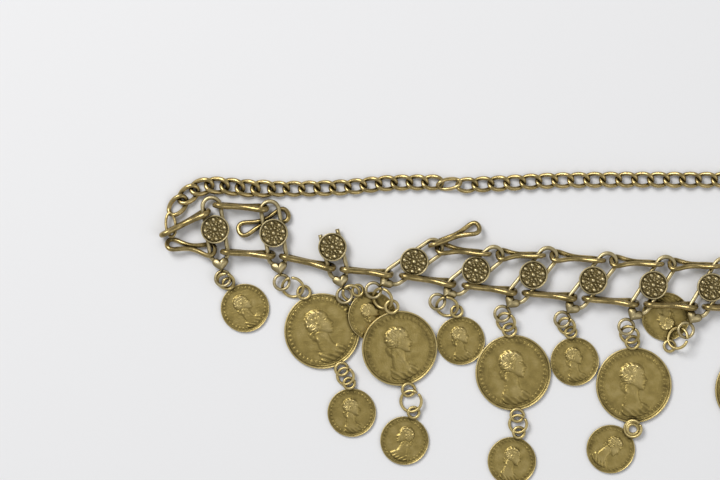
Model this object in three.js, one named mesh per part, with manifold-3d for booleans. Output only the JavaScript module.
// A metal coin belt, closed and laid flat: a ladder of cast rungs joined by pinched links, coins that
// hang from the rungs on jump rings, and a curb chain that closes the belt behind.
// Millimetres, +Z up, the coins and links stand on z = 0, and the chain lies towards +Y.
import * as THREE from "three";
import { mergeVertices } from "three/addons/utils/BufferGeometryUtils.js";
import Module from "manifold-3d";

const wasm = await Module();
wasm.setup();

// Driving dimensions
const MM_PER_PIXEL = 0.45; // real size of one pixel of the reference photograph
const PHOTO_CENTRE = { x: 360, y: 240 };

const RUNG_WIRE = 0.85; // radius, as are the other wires here
const RUNG_HALF_WIDTH = 4.0;
const RUNG_TOP = 14.4;
const RUNG_FOOT = -14.6;
const RUNG_Z = 2.95;
const UPPER_HOLE = 11.2;
const LOWER_HOLE = -10.0;
const FRAME_MIDDLE = (RUNG_TOP + RUNG_FOOT) / 2;
const FRAME_STRAIGHT = (RUNG_TOP - RUNG_FOOT) / 2 - RUNG_HALF_WIDTH; // half the length of the sides
const FRAME_BEND_POINTS = 6;
const DISC_RADIUS = 6.1;
const DISC_THICKNESS = 1.7;
const ROSETTE = { crown: 0.5, sides: 12 };
const HEART = { y: -16.4, width: 6.3, height: 5.9, thickness: 2.0 };
const EYELET = { y: -22.3, radius: 3.35, wire: 0.55 };

const LINK_WIRE = 0.85;
const LINK_PINCH = 0.98; // half the distance between the two wires at the pinch
const LINK_SWELL = 6.0;
const LINK_HALF_HEIGHT = 2.85;
const LINK_CLEARANCE = 0.55;

const LARGE_COIN = { radius: 17.0, thickness: 1.5, eyeletOut: 2.2, eyeletRadius: 2.8, sides: 16 };
const SMALL_COIN = { radius: 10.9, thickness: 1.2, eyeletOut: 2.4, eyeletRadius: 2.4, sides: 12 };
const COIN_RIM = { width: 0.9, height: 0.3 };
const COIN_EYELET = { wire: 0.6, z: 1.45 };
const JUMP = {
  wire: 0.55, least: 3.7, most: 4.7, slope: 26, aboveRung: 0.25, above: 0.8, lowerSlope: 12, lowerAbove: 0.3,
};

const CHAIN = { pitch: 7.1, halfWidth: 3.6, thickness: 3.2 };

const BRASS = { color: "#8d7a43", roughness: 0.42, metalness: 0.9 };

// Rungs: where the disc's middle shows in the photograph, the lean from straight down in degrees, the
// lean of the eyelet, how far the lower hole is lifted, and whether the top loop is whole.
const RUNGS = [
  { x: 215.5, y: 229.4, lean: 9.1, lift: 0, whole: true },
  { x: 273.9, y: 233.2, lean: 9.2, lift: 0, whole: true },
  { x: 332.5, y: 247.1, lean: 14, lift: 0, whole: false },
  { x: 414, y: 261.8, lean: -55.2, lift: 0.7, whole: true },
  { x: 475.5, y: 270.3, lean: -50.8, lift: 0, whole: true },
  { x: 532.8, y: 274.8, lean: -38.6, lift: 0, whole: true },
  { x: 592.5, y: 280.3, lean: -38.3, lift: 0, whole: true },
  { x: 652.4, y: 285, lean: -33.3, lift: 1.1, whole: true },
  { x: 710.2, y: 287.3, lean: -31.1, lift: 1.1, whole: true },
];
const UNSEEN_RUNGS = { count: 4, pitchX: 58.8, pitchY: 3, lean: -30 };
for (let i = 0; i < UNSEEN_RUNGS.count; i += 1) {
  const last = RUNGS.at(-1);
  RUNGS.push({ x: last.x + UNSEEN_RUNGS.pitchX, y: last.y + UNSEEN_RUNGS.pitchY,
    lean: UNSEEN_RUNGS.lean, lift: 0, whole: true });
}

// Coins, one row a rung: the middle in the photograph and the turn of the eyelet, clockwise from up.
// A large coin has a small one below it. A tilted coin leans on the one before it. The slope of the jump
// ring and its height above the coin's eyelet are given where they aren't the usual ones.
const PENDANTS = [
  { x: 245, y: 308, turn: -34 },
  { x: 322, y: 331, turn: -25, below: { x: 351.7, y: 412.5, turn: -5 } },
  { x: 372, y: 316, turn: -30, tilt: 6.3, downhill: 16.9 },
  { x: 399, y: 347.5, turn: -11, tilt: 8, downhill: -50, slope: 34, above: 0.1,
    below: { x: 404.4, y: 440.5, turn: 18 } },
  { x: 460.5, y: 340.6, turn: -7.5, slope: 28 },
  { x: 513, y: 372.5, turn: -5, below: { x: 511.7, y: 461, turn: 13.5 } },
  { x: 574.5, y: 361.5, turn: -8 },
  { x: 633.5, y: 385, turn: -2, below: { x: 610.5, y: 449, turn: 48 } },
  { x: 665.5, y: 316.5, turn: 173, slope: 30 },
  { x: 752.6, y: 390, turn: -3, below: { x: 756, y: 478, turn: 8 } },
  { x: 813, y: 372, turn: -6 },
  { x: 871, y: 396, turn: -4, below: { x: 868, y: 484, turn: 4 } },
  { x: 934, y: 386, turn: -10 },
];

// The chain's path, drawn through the middles of some of its links in the photograph.
const CHAIN_LEFT = [[173, 211.5], [181, 202], [192, 192], [206, 186], [256, 188.7], [340, 187.6],
  [390.9, 183], [440.2, 182.5]];
const JOINING_RING = [[441.6, 182.8], [457.0, 185.2]];
const CHAIN_RIGHT = [[458.8, 185.6], [500, 183.5], [560, 180.5], [713, 180], [985, 183]];
const CHAIN_END = [[989.5, 184.5], [1002, 196], [1007, 220], [1003, 255], [990.5, 295.2]];
// One link's edge and its eye, as shares of the pitch along the chain and of the half width across it.
const CHAIN_EDGE = [[0, 0.6], [0.25, 1], [0.75, 1]];
const CHAIN_EYE = [[0.22, 0], [0.36, 0.46], [0.64, 0.46], [0.78, 0], [0.64, -0.46], [0.36, -0.46]];
const END_LINK = {
  x: 171.3, y: 224.9, turn: 6, halfLength: 5.3, halfWidth: 2.15, wire: 0.68, topZ: 2.6, lowZ: 3.7,
};
const CLOSING_RING = {
  x: 990, y: 317, turn: 0, halfLength: 8.6, halfWidth: 4.0, wire: 0.8, topZ: 3.4, lowZ: 3.9,
};

const SHORT_EDGE = 0.001;

// Places and directions
const at = (x, y, z = 0) =>
  new THREE.Vector3((x - PHOTO_CENTRE.x) * MM_PER_PIXEL, (PHOTO_CENTRE.y - y) * MM_PER_PIXEL, z);
const radians = THREE.MathUtils.degToRad;

// Solids
function solidOf(geometry) {
  const bare = geometry.index ? geometry.clone() : geometry;
  bare.deleteAttribute("normal");
  bare.deleteAttribute("uv");
  const merged = mergeVertices(bare, 1e-4);
  return new wasm.Manifold(new wasm.Mesh({
    numProp: 3,
    vertProperties: merged.attributes.position.array,
    triVerts: withoutDoubles(merged.index.array),
  }));
}

// A tube on a closed path has a lid at each end of the path, and the two lids cancel out.
function withoutDoubles(triangles) {
  const keyAt = (i) => [triangles[i], triangles[i + 1], triangles[i + 2]].sort((a, b) => a - b).join();
  const seen = new Map();
  for (let i = 0; i < triangles.length; i += 3) seen.set(keyAt(i), (seen.get(keyAt(i)) ?? 0) + 1);
  const kept = [];
  for (let i = 0; i < triangles.length; i += 3) {
    const flat = new Set([triangles[i], triangles[i + 1], triangles[i + 2]]).size < 3;
    if (!flat && seen.get(keyAt(i)) === 1) kept.push(triangles[i], triangles[i + 1], triangles[i + 2]);
  }
  return new Uint32Array(kept);
}

// The joins leave some very short edges, which are closed up here.
function geometryOf(solid) {
  const mesh = solid.getMesh();
  const geometry = new THREE.BufferGeometry();
  geometry.setAttribute("position", new THREE.BufferAttribute(mesh.vertProperties, 3));
  geometry.setIndex(new THREE.BufferAttribute(mesh.triVerts, 1));
  const merged = mergeVertices(geometry, SHORT_EDGE);
  merged.setIndex(new THREE.BufferAttribute(withoutDoubles(merged.index.array), 1));
  return merged;
}

const joined = (solids) => geometryOf(solids.reduce((all, one) => all.add(one)));

// A closed path with a section at each of its points, and the same direction at its start and its end.
class WireLoop extends THREE.CatmullRomCurve3 {
  getUtoTmapping(u) {
    return u;
  }

  getTangent(t, target = new THREE.Vector3()) {
    const step = 1 / this.points.length;
    return target.copy(this.getPoint((t + step) % 1)).sub(this.getPoint((t - step + 1) % 1)).normalize();
  }
}

// A closed loop of wire through the points. Its section has few sides, with corners on the radius.
function wire(points, radius, sides = 4) {
  const section = new THREE.Shape();
  for (let i = 0; i < sides; i += 1) {
    const angle = (i * 2 * Math.PI) / sides;
    section[i ? "lineTo" : "moveTo"](radius * Math.cos(angle), radius * Math.sin(angle));
  }
  const path = new WireLoop(points, true, "catmullrom", 0.5);
  return new THREE.ExtrudeGeometry(section, { steps: points.length, extrudePath: path, bevelEnabled: false });
}

const loopPoints = (count, pointAt) =>
  Array.from({ length: count }, (_, i) => pointAt((2 * Math.PI * i) / count));

function ring(radius, wireRadius, segments = 8) {
  const points = loopPoints(segments, (t) =>
    new THREE.Vector3(radius * Math.cos(t), radius * Math.sin(t), 0));
  return wire(points, wireRadius, 3);
}

// A pinched figure-8 loop in the plane of local X and Z, standing on z = 0.
function pinchedLoop(halfLength, segments = 10) {
  return loopPoints(segments, (t) => new THREE.Vector3(
    halfLength * Math.cos(t),
    0,
    Math.sin(t) * (LINK_PINCH + LINK_SWELL * Math.cos(t) ** 2),
  ));
}

function namedMesh(name, geometry, look = BRASS) {
  const mesh = new THREE.Mesh(geometry, new THREE.MeshStandardMaterial(look));
  mesh.name = name;
  return mesh;
}

const numbered = (word, i) => `${word}_${String(i + 1).padStart(2, "0")}`;
const belt = new THREE.Group();

// Rungs
function heartShape() {
  const half = HEART.width / 2;
  const shape = new THREE.Shape();
  shape.moveTo(0, -HEART.height / 2);
  shape.lineTo(half * 0.75, -HEART.height * 0.1);
  shape.lineTo(half, HEART.height * 0.22);
  shape.lineTo(half * 0.7, HEART.height * 0.48);
  shape.lineTo(half * 0.3, HEART.height * 0.48);
  shape.lineTo(0, HEART.height * 0.3);
  shape.lineTo(-half * 0.3, HEART.height * 0.48);
  shape.lineTo(-half * 0.7, HEART.height * 0.48);
  shape.lineTo(-half, HEART.height * 0.22);
  shape.lineTo(-half * 0.75, -HEART.height * 0.1);
  return shape;
}

function discSolid() {
  const low = -DISC_THICKNESS / 2;
  const profile = [
    [0, low],
    [DISC_RADIUS, low],
    [DISC_RADIUS, -low],
    [0, -low + ROSETTE.crown],
  ].map(([x, y]) => new THREE.Vector2(x, y));
  return solidOf(new THREE.LatheGeometry(profile, ROSETTE.sides).rotateX(Math.PI / 2));
}

function rungGeometry(whole) {
  const frame = [1, -1].flatMap((end) => Array.from({ length: FRAME_BEND_POINTS }, (_, i) => {
    const t = (Math.PI * i) / (FRAME_BEND_POINTS - 1);
    return new THREE.Vector3(
      RUNG_HALF_WIDTH * Math.cos(t) * end,
      FRAME_MIDDLE + (FRAME_STRAIGHT + RUNG_HALF_WIDTH * Math.sin(t)) * end,
      0,
    );
  }));
  let frameSolid = solidOf(wire(frame, RUNG_WIRE, 3));
  if (!whole) {
    const gone = new THREE.BoxGeometry(20, 20, 8).translate(0, DISC_RADIUS + 1.6 + 10, 0);
    frameSolid = frameSolid.subtract(solidOf(gone));
  }
  const heart = new THREE.ExtrudeGeometry(heartShape(), { depth: HEART.thickness, bevelEnabled: false });
  heart.translate(0, HEART.y, -RUNG_WIRE);
  const eyelet = ring(EYELET.radius, EYELET.wire).translate(0, EYELET.y, 0);
  return joined([frameSolid, discSolid(), solidOf(heart), solidOf(eyelet)]);
}

const wholeRung = rungGeometry(true);
const brokenRung = rungGeometry(false);
const rungLift = (rung) => Math.asin(rung.lift / (UPPER_HOLE - LOWER_HOLE));
const rungGroups = RUNGS.map((rung, i) => {
  const group = new THREE.Group();
  group.position.copy(at(rung.x, rung.y, RUNG_Z + UPPER_HOLE * Math.sin(rungLift(rung))));
  group.rotation.set(-rungLift(rung), 0, radians(rung.lean), "ZXY");
  group.add(namedMesh(numbered("rung", i), rung.whole ? wholeRung : brokenRung));
  belt.add(group);
  group.updateMatrixWorld(true);
  return group;
});
const onRung = (i, y, x = 0) => new THREE.Vector3(x, y, 0).applyMatrix4(rungGroups[i].matrixWorld);

// Links
function addLink(name, start, end, { lift = 0, lie = 0 } = {}) {
  const along = end.clone().sub(start).setZ(0);
  const halfLength = along.length() / 2;
  const height = LINK_HALF_HEIGHT * Math.cos(radians(lie));
  const mesh = namedMesh(name, geometryOf(solidOf(wire(pinchedLoop(halfLength), LINK_WIRE))));
  mesh.rotation.set(radians(lie), 0, Math.atan2(along.y, along.x), "ZXY");
  mesh.position.copy(start).add(end).multiplyScalar(0.5).setZ(height + LINK_WIRE + lift);
  belt.add(mesh);
}

// How far a link's end wire may go from a hole's middle before it comes too near the rung's frame.
function reach(i, hole, along) {
  const direction = along.clone().applyAxisAngle(new THREE.Vector3(0, 0, 1), -radians(RUNGS[i].lean));
  const nearest = RUNG_WIRE + LINK_WIRE + LINK_CLEARANCE;
  let distance = 0;
  let depth = RUNG_HALF_WIDTH;
  while (depth > nearest) {
    distance += 0.05;
    const x = direction.x * distance;
    const y = hole + direction.y * distance - FRAME_MIDDLE;
    depth = RUNG_HALF_WIDTH - Math.hypot(x, y - THREE.MathUtils.clamp(y, -FRAME_STRAIGHT, FRAME_STRAIGHT));
  }
  return distance;
}

// Where the end wire of a link from rung i stands, when the link heads for a point.
function endOnRung(i, hole, target) {
  const middle = onRung(i, hole);
  const along = target.clone().sub(middle).setZ(0).normalize();
  return middle.addScaledVector(along, reach(i, hole, along));
}

function linkBetween(name, i, j, hole, options) {
  addLink(name, endOnRung(i, hole, onRung(j, hole)), endOnRung(j, hole, onRung(i, hole)), options);
}

const LEFT_END = { upper: [162.5, 235], lower: [167.5, 243.5] };
const RIGHT_END = { upper: [987, 318], lower: [986, 326] };
const LOOSE_LINKS = {
  2: { start: at(239, 231), end: at(288, 213.5), lie: 90 },
  3: { start: onRung(3, 10.0, -1.9), end: at(478.5, 226.5), lie: 0 },
};
const LIFTED_LINK = { index: 8, lift: 1.45 };
const last = RUNGS.length - 1;
const leftUpper = at(...LEFT_END.upper);
const leftLower = at(...LEFT_END.lower);
addLink("upper_link_01", leftUpper, endOnRung(0, UPPER_HOLE - 2, leftUpper));
addLink("lower_link_01", leftLower, endOnRung(0, LOWER_HOLE, leftLower));
for (let i = 0; i < last; i += 1) {
  const loose = LOOSE_LINKS[i + 1];
  const name = numbered("upper_link", i + 1);
  if (loose) addLink(name, loose.start, loose.end, { lie: loose.lie });
  else linkBetween(name, i, i + 1, UPPER_HOLE);
  const lift = i + 1 === LIFTED_LINK.index ? LIFTED_LINK.lift : 0;
  linkBetween(numbered("lower_link", i + 1), i, i + 1, LOWER_HOLE, { lift });
}
const rightUpper = at(...RIGHT_END.upper);
const rightLower = at(...RIGHT_END.lower);
addLink(numbered("upper_link", last + 1), endOnRung(last, UPPER_HOLE, rightUpper), rightUpper);
addLink(numbered("lower_link", last + 1), endOnRung(last, LOWER_HOLE, rightLower), rightLower);

// Coins and jump rings
function bustShape(radius) {
  const outline = [
    [-0.25, -0.66], [0.3, -0.66], [0.06, -0.34], [0.07, -0.12], [0.21, -0.08], [0.28, 0.08],
    [0.2, 0.38], [0.0, 0.55], [-0.3, 0.42], [-0.3, 0.05], [-0.12, -0.14],
  ];
  return new THREE.Shape(outline.map(([x, y]) => new THREE.Vector2(x * radius, y * radius)));
}

function coinGeometries(coin, eyeletTurns) {
  const top = coin.thickness;
  const inner = coin.radius - COIN_RIM.width;
  const profile = [[0, 0], [coin.radius, 0], [coin.radius, top], [inner, top], [inner, top - COIN_RIM.height],
    [0, top - COIN_RIM.height]].map(([x, y]) => new THREE.Vector2(x, y));
  const body = new THREE.LatheGeometry(profile, coin.sides).rotateX(Math.PI / 2);
  const bust = new THREE.ExtrudeGeometry(bustShape(coin.radius), { depth: 0.75, bevelEnabled: false });
  bust.translate(0, 0, top - 0.7);
  const eyelets = eyeletTurns.map((turn) => ring(coin.eyeletRadius, COIN_EYELET.wire, 6)
    .rotateZ(Math.PI / 2)
    .translate(0, coin.radius + coin.eyeletOut, COIN_EYELET.z)
    .rotateZ(radians(-turn)));
  return [body, bust, ...eyelets];
}

// The coin's own frame has its eyelet towards +Y. A tilted coin keeps its lowest edge on the floor.
function coinFrame(row, coin) {
  const frame = new THREE.Matrix4().makeTranslation(at(row.x, row.y));
  if (row.tilt) {
    const toEdge = new THREE.Matrix4().makeTranslation(coin.radius, 0, 0);
    const turned = new THREE.Matrix4().makeRotationZ(radians(row.downhill));
    frame.multiply(turned).multiply(toEdge)
      .multiply(new THREE.Matrix4().makeRotationY(radians(row.tilt)))
      .multiply(toEdge.invert()).multiply(turned.invert());
  }
  return frame.multiply(new THREE.Matrix4().makeRotationZ(radians(-row.turn)));
}

const eyeletOf = (frame, coin, turn = 0) =>
  new THREE.Vector3(0, coin.radius + coin.eyeletOut, COIN_EYELET.z)
    .applyAxisAngle(new THREE.Vector3(0, 0, 1), radians(-turn)).applyMatrix4(frame);

// A jump ring that reaches from one eyelet into the other, sloping across the line between them.
function jumpRing(from, to, slope) {
  const along = to.clone().sub(from);
  const radius = THREE.MathUtils.clamp(along.length() / 2, JUMP.least, JUMP.most);
  const u = along.normalize();
  const v = new THREE.Vector3(-u.y, u.x, 0).normalize().applyAxisAngle(u, radians(slope));
  const frame = new THREE.Matrix4().makeBasis(u, v, u.clone().cross(v));
  frame.setPosition(from.clone().add(to).multiplyScalar(0.5));
  return ring(radius, JUMP.wire).applyMatrix4(frame);
}

PENDANTS.forEach((row, i) => {
  const large = row.below !== undefined;
  const coin = large ? LARGE_COIN : SMALL_COIN;
  const frame = coinFrame(row, coin);
  const lowerAbove = new THREE.Vector3(0, 0, JUMP.lowerAbove);
  const pieces = [];
  const eyeletTurns = [0];
  const rungEyelet = onRung(i, EYELET.y).add(new THREE.Vector3(0, 0, JUMP.aboveRung));
  const coinEyelet = eyeletOf(frame, coin).add(new THREE.Vector3(0, 0, row.above ?? JUMP.above));
  pieces.push(jumpRing(rungEyelet, coinEyelet, row.slope ?? JUMP.slope));
  if (large) {
    const below = coinFrame(row.below, SMALL_COIN);
    const belowEyelet = eyeletOf(below, SMALL_COIN);
    const toBelow = belowEyelet.clone().applyMatrix4(frame.clone().invert());
    const turn = THREE.MathUtils.radToDeg(Math.atan2(toBelow.x, toBelow.y));
    eyeletTurns.push(turn);
    const lowerEyelet = eyeletOf(frame, coin, turn).add(lowerAbove);
    pieces.push(jumpRing(lowerEyelet, belowEyelet.add(lowerAbove), JUMP.lowerSlope));
    coinGeometries(SMALL_COIN, [0]).forEach((piece) => pieces.push(piece.applyMatrix4(below)));
  }
  coinGeometries(coin, eyeletTurns).forEach((piece) => pieces.push(piece.applyMatrix4(frame)));
  belt.add(namedMesh(numbered("pendant", i), joined(pieces.map(solidOf))));
});

// Chain
// A run of chain is one pierced band with the links' outline, because its links are joined in one piece.
function addChain(name, route, links) {
  const path = new THREE.CatmullRomCurve3(route.map(([x, y]) => at(x, y)));
  const count = links ?? Math.round(path.getLength() / CHAIN.pitch);
  const place = ([along, across], link) => {
    const u = THREE.MathUtils.clamp((link + along) / count, 0, 1);
    const middle = path.getPointAt(u);
    const heading = path.getTangentAt(u);
    const offset = across * CHAIN.halfWidth;
    return new THREE.Vector2(middle.x - heading.y * offset, middle.y + heading.x * offset);
  };
  const edge = (side) => [...Array(count).keys()]
    .flatMap((link) => CHAIN_EDGE.map(([along, across]) => place([along, across * side], link)))
    .concat(place([0, CHAIN_EDGE[0][1] * side], count));
  const shape = new THREE.Shape([...edge(-1), ...edge(1).reverse()]);
  for (let link = 0; link < count; link += 1) {
    shape.holes.push(new THREE.Path(CHAIN_EYE.map((point) => place(point, link))));
  }
  const geometry = new THREE.ExtrudeGeometry(shape, { depth: CHAIN.thickness, bevelEnabled: false });
  belt.add(namedMesh(name, geometryOf(solidOf(geometry))));
}

addChain("chain_left", CHAIN_LEFT);
addChain("joining_ring", JOINING_RING, 1);
addChain("chain_right", CHAIN_RIGHT);
addChain("chain_end", CHAIN_END);

// An oval ring whose low end, towards its own -Y, rises to pass through the links' lobes.
function addOvalRing(name, { x, y, turn, halfLength, halfWidth, wire: radius, topZ, lowZ }) {
  const points = loopPoints(10, (t) => new THREE.Vector3(
    halfWidth * Math.sin(t),
    halfLength * Math.cos(t),
    THREE.MathUtils.lerp(lowZ, topZ, (1 + Math.cos(t)) / 2),
  ));
  const mesh = namedMesh(name, geometryOf(solidOf(wire(points, radius))));
  mesh.position.copy(at(x, y));
  mesh.rotation.z = radians(turn);
  belt.add(mesh);
}

addOvalRing("end_link", END_LINK);
addOvalRing("closing_ring", CLOSING_RING);

// The belt's own frame has its origin under the middle of its box.
const box = new THREE.Box3().setFromObject(belt, true);
const middle = box.getCenter(new THREE.Vector3());
belt.position.set(-middle.x, -middle.y, -box.min.z);

const part = new THREE.Group();
part.add(belt);
export default part;
